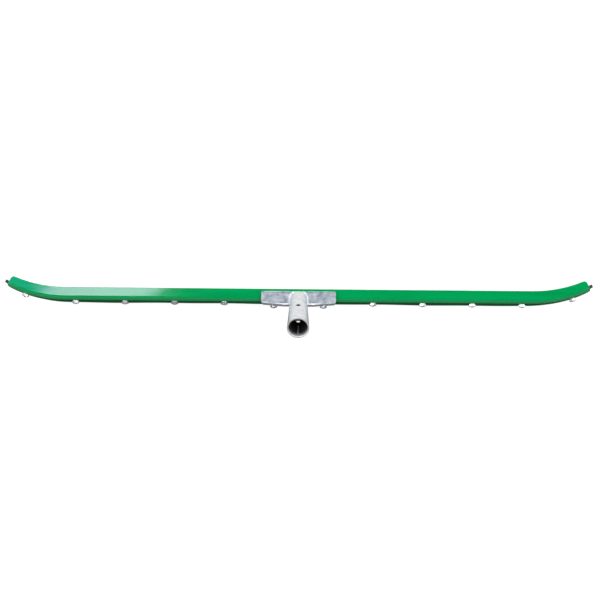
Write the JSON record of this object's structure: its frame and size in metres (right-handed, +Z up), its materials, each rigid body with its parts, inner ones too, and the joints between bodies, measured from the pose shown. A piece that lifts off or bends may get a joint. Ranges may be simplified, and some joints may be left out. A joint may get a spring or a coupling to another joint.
{
  "type": "floor squeegee head",
  "caption": "Curved-end floor squeegee head: a rubber blade bolted to a steel angle frame, with a cast tapered handle socket.",
  "frame": {"origin": "middle of the rubber blade's floor edge, on the rubber's mid-plane", "axes": "+X along the blade, +Y forward, the way both ends curve, +Z up; the handle socket leans back, towards -Y"},
  "size_m": [0.9026, 0.099, 0.1397],
  "materials": {
    "green_steel": "gloss powder coat",
    "black_rubber": "matt",
    "cast_aluminium": "as cast, tumbled",
    "zinc_steel": "bright zinc plate"
  },
  "bodies": {
    "root": {"frame": "green_steel", "rubber_blade": "black_rubber", "clamp_strip": "green_steel", "handle_socket": "cast_aluminium", "screw_01": "zinc_steel", "lock_washer_01": "zinc_steel", "nut_01": "zinc_steel", "screw_02": "zinc_steel", "lock_washer_02": "zinc_steel", "nut_02": "zinc_steel", "screw_03": "zinc_steel", "lock_washer_03": "zinc_steel", "nut_03": "zinc_steel", "screw_04": "zinc_steel", "lock_washer_04": "zinc_steel", "nut_04": "zinc_steel", "screw_05": "zinc_steel", "lock_washer_05": "zinc_steel", "nut_05": "zinc_steel", "screw_06": "zinc_steel", "lock_washer_06": "zinc_steel", "nut_06": "zinc_steel", "screw_07": "zinc_steel", "lock_washer_07": "zinc_steel", "nut_07": "zinc_steel", "screw_08": "zinc_steel", "lock_washer_08": "zinc_steel", "nut_08": "zinc_steel", "screw_09": "zinc_steel", "lock_washer_09": "zinc_steel", "nut_09": "zinc_steel", "screw_10": "zinc_steel", "lock_washer_10": "zinc_steel", "nut_10": "zinc_steel", "screw_11": "zinc_steel", "lock_washer_11": "zinc_steel", "nut_11": "zinc_steel", "screw_12": "zinc_steel", "lock_washer_12": "zinc_steel", "nut_12": "zinc_steel"}
  },
  "joints": []
}
